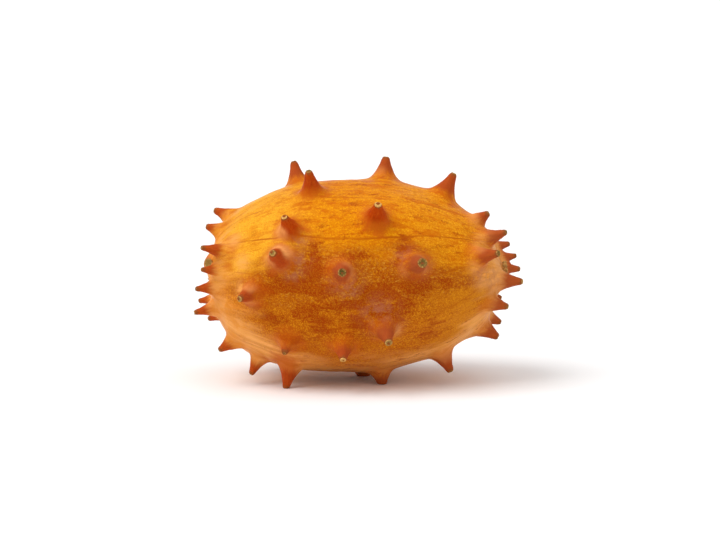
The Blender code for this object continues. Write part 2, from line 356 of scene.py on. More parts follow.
def findHorns(mesh):
    # a horn's end is now a flat fan of faces, well over the plain body
    sides = skinValues["endSides"]
    bm = bmesh.new()
    bm.from_mesh(mesh)
    found = []
    for vert in bm.verts:
        if len(vert.link_faces) != sides:
            continue
        facing = sum((face.normal for face in vert.link_faces), Vector()).normalized()
        isFlat = min(face.normal.dot(facing) for face in vert.link_faces) > 0.995
        over = overBody(intoFruit(np.array([vert.co])))[0]
        if isFlat and over > skinValues["leastHorn"]:
            rim = sum((edge.other_vert(vert).co - vert.co).length for edge in vert.link_edges) / sides
            radius = rim / skinValues["endShare"]
            found.append({"tip": vert.co.copy(), "facing": facing, "radius": radius, "over": over})
    bm.free()
    for horn in found:
        root = horn["tip"] - horn["facing"] * horn["over"]
        horn["root"] = root - horn["facing"] * overBody(intoFruit(np.array([root])))[0]
        horn["foot"] = horn["tip"].z < 0.001
        rootStation = intoFruit(np.array([horn["root"]]))[0, 0] / body["halfLength"]
        horn["redness"] = skinValues["redness"] - skinValues["stemPaling"] * softStep(0.72, 0.88, rootStation)
        horn["spread"] = skinValues["spread"]
        for station, turn, redness, spread in skinValues["oddHorns"]:
            if standsAt(horn, station, turn, 0.005):
                horn["redness"], horn["spread"] = redness, spread
    return found


def leanHorn(mesh, horn, angle):
    # the middle line bends over to the turned tip, and each slice across it turns more towards the end
    places = placesOf(mesh)
    root, line = np.array(horn["root"]), np.array(horn["tip"] - horn["root"])
    turned = Matrix.Rotation(angle, 3, "Z")
    shift = np.array(turned @ Vector(line)) - line
    sideways = shift - line * (shift @ line) / (line @ line)
    lengthwise = shift - sideways
    share = (places - root) @ line / (line @ line)
    off = places - root - share[:, None] * line
    along = np.clip(share, 0, 1.2)
    turn = angle * softStep(0.0, 1.0, along)
    bent = root + share[:, None] * line + (along ** 2)[:, None] * lengthwise
    bent = bent + softStep(0.0, 1.15, along)[:, None] * sideways
    bent[:, 0] += off[:, 0] * np.cos(turn) - off[:, 1] * np.sin(turn)
    bent[:, 1] += off[:, 0] * np.sin(turn) + off[:, 1] * np.cos(turn)
    bent[:, 2] += off[:, 2]
    near = 1 - softStep(0.0030, 0.0044, np.linalg.norm(off, axis=1))
    setPlaces(mesh, places + (bent - places) * near[:, None])
    horn["tip"] = horn["root"] + Vector(line + lengthwise + float(softStep(0.0, 1.15, 1.0)) * sideways)
    horn["facing"] = turned @ horn["facing"]


def softSpots(local, spots, squash=(1, 1, 1)):
    # 1 at the middle of each spot, fading out at its reach; a squash under 1 draws the spots out that way
    field = np.zeros(len(local))
    for station, turn, reach in spots:
        gap = np.linalg.norm((local - np.array(onBody(station, turn))) * squash, axis=1)
        field = np.maximum(field, np.exp(-(gap / (reach * 0.001)) ** 2))
    return field


def longSpots(local, spots):
    field = np.zeros(len(local))
    for station, turn, reachAlong, reachRound, strength in spots:
        gap = (local - np.array(onBody(station, turn))) * 1000 / (reachAlong, reachRound, reachRound)
        field = np.maximum(field, strength * np.exp(-np.sum(gap ** 2, axis=1)))
    return field


def paintFlankHighlights(horn, off, share, gap):
    # how strong the painted highlight on the flanks of a horn is, from the way a point lies off its middle
    # line
    flank = np.zeros(len(off))
    for station, turn, facing, strength, reach in skinValues["flanks"]:
        if not standsAt(horn, station, turn, 0.005):
            continue
        ahead = lying.to_3x3() @ Vector((1, 0, 0))
        upward = horn["facing"].cross(ahead).normalized()
        wanted = ahead * math.cos(math.radians(facing)) + upward * math.sin(math.radians(facing))
        towards = off @ np.array(wanted) / np.maximum(np.linalg.norm(off, axis=1), 1e-9)
        near = softStep(-0.1, 0.8, towards) * (1 - softStep(0.00042 * reach, 0.001 * reach, gap))
        near *= 1 - softStep(0.38, 0.72, share)
        flank = np.maximum(flank, strength * near)
    return flank


def wayRound(horn, number, places):
    # which way round its horn a point is, for streaks that run up it, and another number for each horn
    side = horn["facing"].orthogonal().normalized()
    first = (places - np.array(horn["root"])) @ np.array(side)
    second = (places - np.array(horn["root"])) @ np.array(horn["facing"].cross(side))
    away = np.maximum(np.hypot(first, second), 1e-9)
    return np.stack((first / away, second / away, np.full(len(places), number * 3.7)), axis=1)


def nearestHorns(places, horns):
    # how far each point is from the nearest horn and tip, and what that horn is like
    toTip, toHorn, toNext = (np.full(len(places), 1.0) for measure in range(3))
    redness, girth = (np.ones(len(places)) for measure in range(2))
    spread, flank = (np.zeros(len(places)) for measure in range(2))
    spin = np.zeros((len(places), 3))
    for number, horn in enumerate(horns):
        root, tip = np.array(horn["root"]), np.array(horn["tip"])
        line = tip - root
        share = np.clip((places - root) @ line / (line @ line), 0, 1)
        off = places - root - share[:, None] * line
        gap = np.linalg.norm(off, axis=1)
        closer = gap < toHorn
        toNext = np.where(closer, toHorn, np.minimum(toNext, gap))
        toHorn[closer] = gap[closer]
        toTip = np.minimum(toTip, np.linalg.norm(places - tip, axis=1))
        redness[closer] = horn["redness"]
        spread[closer] = horn["spread"]
        girth[closer] = horn["radius"] * 1000
        spin[closer] = wayRound(horn, number, places)[closer]
        flank = np.maximum(flank, paintFlankHighlights(horn, off, share, gap))
    # nothing where two horns meet, so that their streaks don't run into each other
    apart = softStep(0.0008, 0.0024, toNext - toHorn)
    return {
        "toTip": toTip * 1000, "toHorn": toHorn * 1000, "apart": apart, "girth": girth,
        "redness": redness, "spread": spread, "flank": flank, "spin": spin,
    }


def describeSkin(mesh, horns):
    # what the skin's material needs to know at each point, in millimetres
    places = placesOf(mesh)
    local = intoFruit(places)
    fields = nearestHorns(places, horns)
    fields["over"] = overBody(local) * 1000
    fields["paintedSheen"] = softSpots(local, skinValues["sheenSpots"], (0.75, 1, 1))
    fields["paintedHighlight"] = softSpots(local, skinValues["highlightSpots"])
    fields["red"] = longSpots(local, skinValues["redSpots"])
    for name, values in fields.items():
        giveAttribute(mesh, name, values)


def roughenSkin(skin):
    over = overBody(intoFruit(placesOf(skin.data)))
    lifted = placesOf(skin.data)[:, 2] >= skinValues["footHeight"]
    zones = {
        "open": (1 - softStep(0.0008, 0.0025, over)) * lifted,
        "horns": softStep(0.0010, 0.0030, over) * lifted,
        "all": 1.0 * lifted,
    }
    for name, weights in zones.items():
        group = skin.vertex_groups.new(name=name)
        for index, weight in enumerate(weights):
            if weight > 0:
                group.add((index,), float(weight), "REPLACE")
    smoothing = skin.modifiers.new("smoothing", "SMOOTH")
    smoothing.factor = skinValues["smoothing"]
    smoothing.iterations = skinValues["smoothingRounds"]
    smoothing.vertex_group = "all"
    addRoughening(skin, "swells", skinValues["swellSize"], skinValues["swellHeight"], "open")
    addRoughening(skin, "lumps", skinValues["lumpSize"], skinValues["lumpHeight"], "horns")
    applyAll(skin)
    skin.vertex_groups.clear()


def makeSkin():
    skin = bpy.data.objects.new("melonSkin", melonNode.data.copy())
    bpy.context.scene.collection.objects.link(skin)
    editAll(skin)
    bpy.ops.mesh.remove_doubles(threshold=0.00001)
    rebuildHornEnds(skin)
    backToObject()
    horns = findHorns(skin.data)
    print("horns found:", len(horns))

    editAll(skin)
    bpy.ops.mesh.customdata_custom_splitnormals_clear()
    bpy.ops.mesh.subdivide(number_cuts=skinValues["cuts"], smoothness=skinValues["roundness"])
    bpy.ops.mesh.select_all(action="SELECT")
    bpy.ops.mesh.normals_make_consistent(inside=False)
    backToObject()
    roughenSkin(skin)

    station, turn, angle = skinValues["leaning"]
    for horn in horns:
        if standsAt(horn, station, turn, 0.002):
            leanHorn(skin.data, horn, angle)
    keepOverGround(skin.data)
    describeSkin(skin.data, horns)
    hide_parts("horned_melon")
    return skin, horns


# the waxy rind, with every place on it in millimetres
rindValues = {
    "amber": (0.80, 0.322, 0.003),
    "amberPale": (0.93, 0.470, 0.030),
    "amberMesh": (0.65, 0.185, 0.001),
    "streak": (0.55, 0.112, 0.001),
    "middle": (0.40, 0.083, 0.004),
    "dash": (0.64, 0.285, 0.035),
    "redPatch": (0.345, 0.048, 0.002),
    "lower": (0.46, 0.102, 0.003),
    "dots": (0.71, 0.280, 0.009),
    # the rim colour is painted sheen along the lowest part
    "rim": (0.88, 0.400, 0.110),
    # peach, peachDeep and peachStem are painted sheen at both ends; peach is also the painted highlight
    # beside horns
    "peach": (0.88, 0.390, 0.095),
    "peachDeep": (0.78, 0.270, 0.030),
    "peachStem": (0.76, 0.370, 0.130),
    "poleRing": (0.52, 0.185, 0.045),
    "seam": (0.43, 0.085, 0.002),
    "halo": (0.52, 0.093, 0.006),
    # painted sheen: a lavender reflection beside the horns
    "paintedSheen": (0.44, 0.145, 0.075),
    "horn": (0.44, 0.043, 0.002),
    "hornQuiet": (0.345, 0.073, 0.021),
    "hornDark": (0.30, 0.026, 0.001),
    "hornPale": (0.62, 0.125, 0.010),
    # the colour of the painted highlight on one flank of some horns
    "flank": (0.90, 0.380, 0.110),
    "corkEdge": (0.22, 0.085, 0.025),
    # where the low and the top zone begin, by height from -1 to 1
    "lowEdge": (-0.04, -0.22),
    "topEdge": (0.29, 0.58),
    "endEdge": (0.70, 0.94),  # where the pale ends begin, by station
    "cellDrift": 2.2,
    "dotStrength": 0.36,
    "lowDotStrength": 0.72,
    "seamCount": 12,
    "seamTurn": math.radians(29),
    "seamBow": 0.46,
    "seamWidth": (0.68, 0.14),
    "seamStrength": 0.82,
    "haloReach": (8.2, 2.9),
    "sheenStrength": 0.62,
    "hornReach": (1.6, 4.8),  # how far over the plain body a horn turns from the rind's colour to its own
    "corkReach": (1.8, 1.1),
    "roughness": (0.36, 0.50),
    "hornDryness": 0.15,
    "corkDryness": 0.3,
    "sheenDryness": 0.15,
    "bend": 1.33,  # how strongly the wax bends light
    "shine": 0.16,
    "shineTint": (1.0, 0.40, 0.06),
    # relief in thousandths of a millimetre, all of it fine
    "netRelief": 14.0,
    "streakRelief": 40.0,
    "swellRelief": 130.0,
    "hornRelief": 220.0,
    "seamRelief": 16.0,
}


def rindPlaces(tree):
    # the places and the noises that several parts of the rind share
    at = {}
    # the fruit's own frame
    ownFrame = {"Location": body["middle"], "Rotation": (0, -body["rise"], 0), "Scale": (0.001,) * 3}
    ownFrame["Vector"] = addNode(tree, "ShaderNodeTexCoord").outputs["Object"]
    fruit = addNode(tree, "ShaderNodeMapping", ownFrame, vector_type="TEXTURE").outputs[0]
    at["fruit"] = fruit
    split = addNode(tree, "ShaderNodeSeparateXYZ", {0: fruit})
    at["along"] = calc(tree, "DIVIDE", split.outputs["X"], body["halfLength"] * 1000)
    at["endwards"] = calc(tree, "POWER", calc(tree, "ABSOLUTE", at["along"]), 2.0)
    at["across"] = vectorCalc(tree, "MULTIPLY", fruit, (0, 1, 1))
    around = addNode(tree, "ShaderNodeSeparateXYZ", {0: vectorCalc(tree, "NORMALIZE", at["across"])})
    back, up = around.outputs["Y"], around.outputs["Z"]
    at["up"] = up
    at["front"] = times(tree, back, -1.0)
    # streaks run from end to end: the same round spot at every place along the axis
    radius = body["radius"] * 1000
    spot = {0: split.outputs["X"], 1: times(tree, back, radius), 2: times(tree, up, radius)}
    streaks = addNode(tree, "ShaderNodeCombineXYZ", spot).outputs[0]
    at["streaks"] = streaks
    at["fineStreaks"] = longGrain(tree, streaks, 0.30, 0.85, 4.0, 0.65)
    at["mottle"] = longGrain(tree, fruit, 0.13, 0.19, 4.0, 0.62)
    at["patches"] = longGrain(tree, streaks, 0.075, 0.20, 4.0, 0.6)
    at["speckle"] = grain(tree, fruit, 1.3, 3.0, 0.7)
    zoneNoise = longGrain(tree, streaks, 0.05, 0.11, 3.0, 0.6)
    at["zone"] = plus(tree, up, fade(tree, zoneNoise, 0.25, 0.75, -0.13, 0.13))
    # cells and dots are loosened, so that none of them is quite regular
    drift = addNode(tree, "ShaderNodeTexNoise", {"Vector": fruit, "Scale": 0.8, "Detail": 2.0})
    drifted = (rindValues["cellDrift"],) * 3
    at["loose"] = vectorCalc(tree, "MULTIPLY_ADD", drift.outputs["Color"], drifted, fruit)
    at["cellPlace"] = stretch(tree, at["loose"], (0.95, 1.7, 1.7))
    at["netting"] = cells(tree, at["cellPlace"], "DISTANCE_TO_EDGE")
    return at


def amberTop(tree, at):
    # yellow cells on an orange net, paler towards both ends
    look = rindValues
    along = at["along"]
    cellShare = fade(tree, at["netting"], 0.03, 0.20)
    amber = blend(tree, cellShare, look["amberMesh"], look["amber"])
    cellColour = cells(tree, at["cellPlace"], "F1", "Color")
    cellTone = addNode(tree, "ShaderNodeSeparateXYZ", {0: cellColour}).outputs[0]
    amber = blend(tree, fade(tree, cellTone, 0.55, 1.0, 0, 0.5), amber, look["streak"])
    paler = times(tree, fade(tree, cellShare, 0, 1, 0.45, 1.0), fade(tree, along, -0.10, -0.65, 0, 0.85))
    amber = blend(tree, paler, amber, look["amberPale"])
    paler = times(tree, cellShare, fade(tree, along, 0.10, 0.60, 0, 0.3))
    amber = blend(tree, paler, amber, look["amberPale"])
    amber = blend(tree, fade(tree, at["mottle"], 0.50, 0.68, 0, 0.25), amber, look["streak"])
    # orange streaks, which are calmer towards the blossom
    calmer = fade(tree, along, -0.30, -0.70, 1.0, 0.45)
    blotches = longGrain(tree, at["streaks"], 0.16, 0.34, 4.0, 0.62)
    blotches = times(tree, fade(tree, blotches, 0.51, 0.62, 0, 0.75), calmer)
    amber = blend(tree, blotches, amber, look["streak"])
    fineStreaks = times(tree, fade(tree, at["fineStreaks"], 0.50, 0.66, 0, 0.58), calmer)
    amber = blend(tree, fineStreaks, amber, look["streak"])
    longStreaks = longGrain(tree, at["streaks"], 0.05, 0.42, 3.0, 0.6)
    return blend(tree, fade(tree, longStreaks, 0.54, 0.64, 0, 0.4), amber, look["streak"])


def middleBand(tree, at):
    # darker, with fine yellow dashes
    look = rindValues
    middle = blend(tree, fade(tree, at["patches"], 0.50, 0.70, 0, 0.8), look["middle"], look["redPatch"])
    middle = blend(tree, fade(tree, at["speckle"], 0.50, 0.68, 0, 0.55), middle, look["amber"])
    dashes = longGrain(tree, at["streaks"], 0.9, 2.6, 2.0, 0.6)
    return blend(tree, fade(tree, dashes, 0.56, 0.66, 0, 0.7), middle, look["dash"])


def redPatches(tree, at):
    # how red the rind is, with the edges of the red spots broken up
    ragged = longGrain(tree, at["streaks"], 0.16, 0.42, 4.0, 0.60)
    ragged = fade(tree, ragged, 0.30, 0.70, -0.38, 0.38)
    ragged = times(tree, ragged, fade(tree, at["along"], -0.15, -0.60, 1.0, 0.6))
    redShare = plus(tree, attribute(tree, "red"), ragged)
    redShare = plus(tree, redShare, fade(tree, at["speckle"], 0.30, 0.70, 0.14, -0.14))
    return fade(tree, redShare, 0.12, 0.58, 0, 0.96)


def yellowDots(tree, at):
    dotDistance = cells(tree, stretch(tree, at["loose"], (1.55, 2.3, 2.3)))
    dotField = fade(tree, longGrain(tree, at["fruit"], 0.07, 0.1), 0.36, 0.56, 0.6, 1.0)
    return times(tree, fade(tree, dotDistance, 0.58, 0.24), dotField)


def lowerHalf(tree, at, dots):
    # brown orange, with yellow dots and painted rim sheen along the lowest part
    look = rindValues
    along, endwards = at["along"], at["endwards"]
    lower = blend(tree, fade(tree, at["patches"], 0.48, 0.74, 0, 0.42), look["lower"], look["redPatch"])
    lower = blend(tree, times(tree, dots, look["lowDotStrength"]), lower, look["dots"])
    lower = blend(tree, fade(tree, along, 0.30, 0.75, 0, 0.35), lower, look["dots"])
    # painted rim sheen: smooth pale streaks along the lowest part, standing in for the reflection of the
    # bright floor and room
    rimSheenPlace = minus(tree, at["zone"], times(tree, endwards, fade(tree, along, 0.4, -0.4, 0.15, 0.52)))
    rimSheenStreaks = longGrain(tree, at["streaks"], 0.03, 0.62, 3.0, 0.6)
    rimSheenShare = times(tree, fade(tree, rimSheenPlace, -0.68, -0.97), fade(tree, rimSheenStreaks, 0.36, 0.62, 0.50, 1.0))
    rimSheenShare = times(tree, rimSheenShare, fade(tree, endwards, 0.0, 0.22, 0.60, 1.0))
    return blend(tree, rimSheenShare, lower, look["rim"])


def seamLines(tree, at):
    # thin lines from end to end, bowed a little upwards towards the ends
    turn = calc(tree, "ARCTAN2", at["up"], at["front"])
    bow = minus(tree, rindValues["seamBow"], times(tree, at["up"], 0.30))
    bow = times(tree, bow, at["endwards"])
    bow = times(tree, bow, at["front"])
    waver = fade(tree, longGrain(tree, at["streaks"], 0.08, 0.02), 0.2, 0.8, -0.02, 0.02)
    place = plus(tree, minus(tree, turn, bow), waver)
    seamStep = math.tau / rindValues["seamCount"]
    seams = calc(tree, "DIVIDE", minus(tree, place, rindValues["seamTurn"]), seamStep)
    gap = calc(tree, "ABSOLUTE", minus(tree, seams, calc(tree, "ROUND", seams)))
    gap = times(tree, gap, seamStep * (body["radius"] * 1000))
    # one seam is whole, and the others are broken and fainter
    strength = fade(tree, longGrain(tree, at["streaks"], 0.06, 0.16, 3.0), 0.40, 0.62, 0.05, 0.60)
    wholeSeam = fade(tree, calc(tree, "ABSOLUTE", seams), 0.6, 0.4)
    strength = plus(tree, strength, times(tree, wholeSeam, 0.65), clamp=True)
    strength = times(tree, strength, fade(tree, at["up"], -0.55, -0.25, 0.3, 1.0))
    return times(tree, fade(tree, gap, *rindValues["seamWidth"]), strength)


def paleEnds(tree, at, colour):
    # painted sheen: pale peach at both ends stands in for the reflection of the bright room, in streaks that
    # meet at the stem and at the blossom
    look = rindValues
    along = at["along"]
    fromMiddle = calc(tree, "ABSOLUTE", along)
    place = plus(tree, fromMiddle, fade(tree, at["patches"], 0.3, 0.7, -0.09, 0.09))
    lowBlossom = times(tree, fade(tree, along, 0.2, -0.4), fade(tree, at["up"], 0.1, -0.5, -0.02, 0.10))
    place = plus(tree, place, lowBlossom)
    place = plus(tree, place, fade(tree, along, 0.0, 0.5, 0.0, -0.11))
    endShare = fade(tree, place, *look["endEdge"])
    streaks = fade(tree, longGrain(tree, at["streaks"], 0.10, 0.36, 4.0, 0.65), 0.32, 0.64, 0.28, 0.72)
    streaks = plus(tree, streaks, fade(tree, fromMiddle, 0.86, 0.99, 0.0, 0.25))
    tone = blend(tree, fade(tree, at["mottle"], 0.40, 0.62), look["peach"], look["peachDeep"])
    tone = blend(tree, fade(tree, along, 0.0, 0.5, 0, 0.75), tone, look["peachStem"])
    colour = blend(tree, times(tree, endShare, streaks), colour, tone)
    fromPole = vectorCalc(tree, "LENGTH", at["across"], output="Value")
    fromPole = plus(tree, fromPole, fade(tree, at["fineStreaks"], 0.3, 0.7, -0.9, 0.9))
    colour = blend(tree, fade(tree, fromPole, 6.8, 3.0, 0, 0.5), colour, look["poleRing"])
    return colour, endShare


def roundHorns(tree, at, colour, endShare):
    # redder rind round the roots of the horns, and painted highlights and painted lavender sheen beside them
    look = rindValues
    halo = plus(tree, attribute(tree, "toHorn"), fade(tree, at["mottle"], 0.3, 0.7, -1.6, 1.6))
    halo = fade(tree, halo, *look["haloReach"])
    halo = times(tree, halo, fade(tree, attribute(tree, "redness"), 0.0, 1.0, 0.6, 1.4))
    halo = times(tree, halo, fade(tree, endShare, 0.0, 0.8, 0.62, 0.18))
    colour = blend(tree, halo, colour, look["halo"])
    # painted highlights in pale peach beside some horns
    highlightShare = times(tree, attribute(tree, "paintedHighlight"), fade(tree, at["fineStreaks"], 0.34, 0.60, 0.3, 0.85))
    colour = blend(tree, highlightShare, colour, look["peach"])
    # painted lavender sheen beside the horns, broken up by noise
    sheenBreakup = fade(tree, grain(tree, at["fruit"], 0.4, 4.0, 0.6), 0.36, 0.60)
    paintedSheen = times(tree, attribute(tree, "paintedSheen"), sheenBreakup)
    colour = blend(tree, times(tree, paintedSheen, look["sheenStrength"]), colour, look["paintedSheen"])
    return colour, paintedSheen


def streaksUpHorns(tree):
    # the way round a horn and the height up it make the place, and streaks stop where two horns meet
    height = addNode(tree, "ShaderNodeCombineXYZ", {2: times(tree, attribute(tree, "over"), 0.10)}).outputs[0]
    place = vectorCalc(tree, "ADD", attribute(tree, "spin", "Vector"), height)
    streaks = minus(tree, grain(tree, place, 2.2, 4.0, 0.6), 0.5)
    return plus(tree, times(tree, streaks, attribute(tree, "apart")), 0.5)


def hornSkin(tree, at, colour, streaks):
    look = rindValues
    tone = blend(tree, fade(tree, at["speckle"], 0.45, 0.70, 0, 0.3), look["horn"], look["hornPale"])
    tone = blend(tree, fade(tree, streaks, 0.52, 0.70, 0, 0.5), tone, look["hornPale"])
    tone = blend(tree, fade(tree, streaks, 0.46, 0.32, 0, 0.6), tone, look["hornDark"])
    tone = blend(tree, attribute(tree, "redness"), look["hornQuiet"], tone)
    reach = plus(tree, attribute(tree, "over"), fade(tree, streaks, 0.3, 0.7, -0.6, 0.6))
    reach = plus(tree, reach, attribute(tree, "spread"))
    outOfHorn = calc(tree, "DIVIDE", attribute(tree, "toHorn"), attribute(tree, "girth"))
    hornShare = fade(tree, reach, *look["hornReach"], 0, 0.94)
    hornShare = times(tree, hornShare, fade(tree, outOfHorn, 4.6, 2.6))
    colour = blend(tree, hornShare, colour, tone)
    # painted highlight: one flank of some horns turns pale
    flankHighlightShare = times(tree, attribute(tree, "flank"), fade(tree, streaks, 0.30, 0.60, 0.6, 1.0))
    colour = blend(tree, flankHighlightShare, colour, look["flank"])
    toTip = plus(tree, attribute(tree, "toTip"), fade(tree, at["speckle"], 0.3, 0.7, -0.4, 0.4))
    corkShare = fade(tree, toTip, *look["corkReach"], 0, 0.65)
    return blend(tree, corkShare, colour, look["corkEdge"]), hornShare, corkShare


def makeRind():
    material, shader = newMaterial("waxyRind")
    tree = material.node_tree
    look = rindValues
    at = rindPlaces(tree)
    # three zones from the bottom to the top, then what lies over them
    dots = yellowDots(tree, at)
    lowShare = fade(tree, at["zone"], *look["lowEdge"])
    colour = blend(tree, lowShare, middleBand(tree, at), lowerHalf(tree, at, dots))
    topPlace = plus(tree, at["zone"], times(tree, at["endwards"], 0.50))
    colour = blend(tree, fade(tree, topPlace, *look["topEdge"]), colour, amberTop(tree, at))
    colour = blend(tree, redPatches(tree, at), colour, look["redPatch"])
    colour = blend(tree, times(tree, dots, look["dotStrength"]), colour, look["dots"])
    seam = seamLines(tree, at)
    colour = blend(tree, times(tree, seam, look["seamStrength"]), colour, look["seam"])
    # painted sheen at both ends
    colour, endShare = paleEnds(tree, at, colour)
    colour, paintedSheen = roundHorns(tree, at, colour, endShare)
    hornStreaks = streaksUpHorns(tree)
    colour, hornShare, corkShare = hornSkin(tree, at, colour, hornStreaks)

    roughness = fade(tree, at["mottle"], 0.35, 0.65, *look["roughness"])
    for share, name in ((hornShare, "hornDryness"), (corkShare, "corkDryness"), (paintedSheen, "sheenDryness")):
        roughness = plus(tree, roughness, times(tree, share, look[name]), clamp=True)

    relief = times(tree, fade(tree, at["netting"], 0.0, 0.2), look["netRelief"])
    for height, depth in (
        (at["fineStreaks"], look["streakRelief"]),
        (grain(tree, at["fruit"], 0.55, 3.0), look["swellRelief"]),
        (times(tree, hornStreaks, hornShare), look["hornRelief"]),
        (seam, -look["seamRelief"]),
    ):
        relief = plus(tree, relief, times(tree, height, depth))
    bump = addNode(tree, "ShaderNodeBump", {"Height": relief, "Strength": 1.0, "Distance": 0.000001})
    wireShader(tree, shader, colour, roughness, bump, look)
    shader.inputs["IOR"].default_value = look["bend"]
    return material


# dry cork, for the ends of the horns and of the fruit
corkValues = {
    "rimPale": (0.84, 0.500, 0.150),
    "rimDark": (0.34, 0.165, 0.040),
    "brown": (0.18, 0.062, 0.014),
    "innerPale": (0.66, 0.360, 0.100),
    "innerDark": (0.095, 0.078, 0.016),
    "pit": (0.030, 0.020, 0.004),
    "coarse": 1400.0,
    "fine": 4200.0,
    "shine": 0.12,
    "shineTint": (1.0, 0.70, 0.35),
}


def giveCorkFields(mesh, radius, darkness, rimBelow=0):
    # how far out a point is in radii, how dark the piece is, and its rays; a cap's lower half is all rim
    places = placesOf(mesh)
    away = np.hypot(places[:, 0], places[:, 1]) / radius
    outwards = places[:, :2] / radius / np.maximum(away, 0.05)[:, None]
    giveAttribute(mesh, "fromCentre", away + rimBelow * (places[:, 2] < 0))
    giveAttribute(mesh, "darkness", np.full(len(places), darkness))
    giveAttribute(mesh, "rays", np.column_stack((outwards, away)))


def makeCork():
    material, shader = newMaterial("dryCork")
    tree = material.node_tree
    look = corkValues
    coords = addNode(tree, "ShaderNodeTexCoord").outputs["Object"]
    coarse = grain(tree, coords, look["coarse"], 4.0, 0.7)
    fine = grain(tree, coords, look["fine"], 3.0, 0.7)
    darkness = attribute(tree, "darkness")
    rays = vectorCalc(tree, "MULTIPLY", attribute(tree, "rays", "Vector"), (2.6, 2.6, 0.8))
    rays = grain(tree, rays, 1.0, 3.0, 0.6)
    rim = blend(tree, times(tree, darkness, 0.75), look["rimPale"], look["rimDark"])
    rimBrown = times(tree, fade(tree, coarse, 0.60, 0.42), fade(tree, darkness, 0.0, 1.0, 0.3, 0.8))
    rim = blend(tree, rimBrown, rim, look["brown"])
    inner = blend(tree, darkness, look["innerPale"], look["innerDark"])
    innerBrown = times(tree, fade(tree, coarse, 0.46, 0.62), fade(tree, darkness, 0.0, 1.0, 0.2, 0.6))
    inner = blend(tree, innerBrown, inner, look["rimDark"])
    fromCentre = plus(tree, attribute(tree, "fromCentre"), fade(tree, coarse, 0.3, 0.7, -0.2, 0.2))
    colour = blend(tree, fade(tree, fromCentre, 0.64, 0.90), inner, rim)
    cracks = times(tree, fade(tree, rays, 0.52, 0.68), fade(tree, darkness, 0.0, 1.0, 0.1, 0.7))
    colour = blend(tree, cracks, colour, look["brown"])
    pits = times(tree, fade(tree, fine, 0.52, 0.70), fade(tree, darkness, 0.0, 1.0, 0.1, 0.5))
    colour = blend(tree, pits, colour, look["pit"])
    roughness = fade(tree, coarse, 0.3, 0.7, 0.72, 0.92)
    height = minus(tree, fine, times(tree, fade(tree, rays, 0.5, 0.68), 0.8))
    bump = addNode(tree, "ShaderNodeBump", {"Height": height, "Strength": 0.7, "Distance": 0.0001})
    wireShader(tree, shader, colour, roughness, bump, look)
    return material


# corky ends of the horns: one cap, copied to each horn
capValues = {
    "sides": 20,
    "depth": 0.6,  # from here to footSink, all in the cap's own radii
    "rimFlare": 1.05,
    "rimHeight": 0.16,
    "insets": ((0.16, 0.05), (0.20, -0.12), (0.24, -0.03), (0.22, -0.10)),
    "sink": 0.04,
    "footSink": 0.1,  # the feet's caps sink deeper, to stay inside the flat ends
    "size": 0.74,  # as a share of the horn's girth
    "roughSize": 0.0009,
    "roughHeight": 0.00022,
    # some ends are broader, smaller, paler or darker, or broken off askew: station, turn, size, darkness
    # from 0 to 1, and how far the end is tipped up and swung round in degrees
    "oddCaps": (
        (-0.075, 9, 1.08, 1.0, 0, 0), (0.40, 12, 1.22, 0.85, 0, 0), (0.185, -25, 1.02, 0.55, -14, 0),
        (-0.46, -37, 0.60, 0.9, 0, 0), (-0.415, 36, 0.78, 0.0, 20, 0), (0.155, 41, 0.95, 0.1, 20, 0),
        (-0.485, 19, 0.84, 0.7, 12, -10), (-0.685, -3, 0.92, 0.6, 0, -22), (-0.09, -36, 0.88, 0.1, -14, 0),
        (-0.95, 30, 0.95, 0.6, 0, 0), (0.82, 21, 0.95, 0.8, 0, 0), (0.10, 196, 1.0, 0.8, 8, 0),
        (-0.35, 168, 1.0, 0.5, 0, 10),
    ),
}


def makeCap():
    values = capValues
    bpy.ops.mesh.primitive_cylinder_add(
        vertices=values["sides"], radius=1.0, depth=values["depth"], end_fill_type="NGON")
    cap = bpy.context.object
    editTop(cap)
    flare, top = values["rimFlare"], values["depth"] / 2
    bpy.ops.transform.resize(value=(flare, flare, 1), center_override=(0, 0, top))
    bpy.ops.mesh.extrude_region_move(TRANSFORM_OT_translate={"value": (0, 0, values["rimHeight"])})
    insetSteps(values["insets"])
    bpy.ops.mesh.poke()
    backToObject()
    makeFiner(cap, 1)
    giveCorkFields(cap.data, 1.0, 0.0, rimBelow=1)
    return cap


def fitCap(cap, horn, number, size, facing, darkness, spin):
    radius = horn["radius"] * size
    sink = radius * (capValues["depth"] / 2 - capValues["sink"])
    if horn["foot"]:
        sink = radius * (capValues["depth"] / 2 + capValues["rimHeight"] + capValues["footSink"]) + 0.0001
    place = Matrix.Translation(horn["tip"] - facing * sink)
    turned = facing.to_track_quat("Z", "Y").to_matrix().to_4x4()
    spun = Matrix.Rotation(spin, 4, "Z")
    cap.data.transform(place @ turned @ spun @ Matrix.Scale(radius, 4))
    shades = np.full(len(cap.data.vertices), darkness, np.float32)
    cap.data.attributes["darkness"].data.foreach_set("value", shades)
    # another number for each horn gives each end its own cracks
    for point in cap.data.attributes["rays"].data:
        point.vector.z += number * 2.7


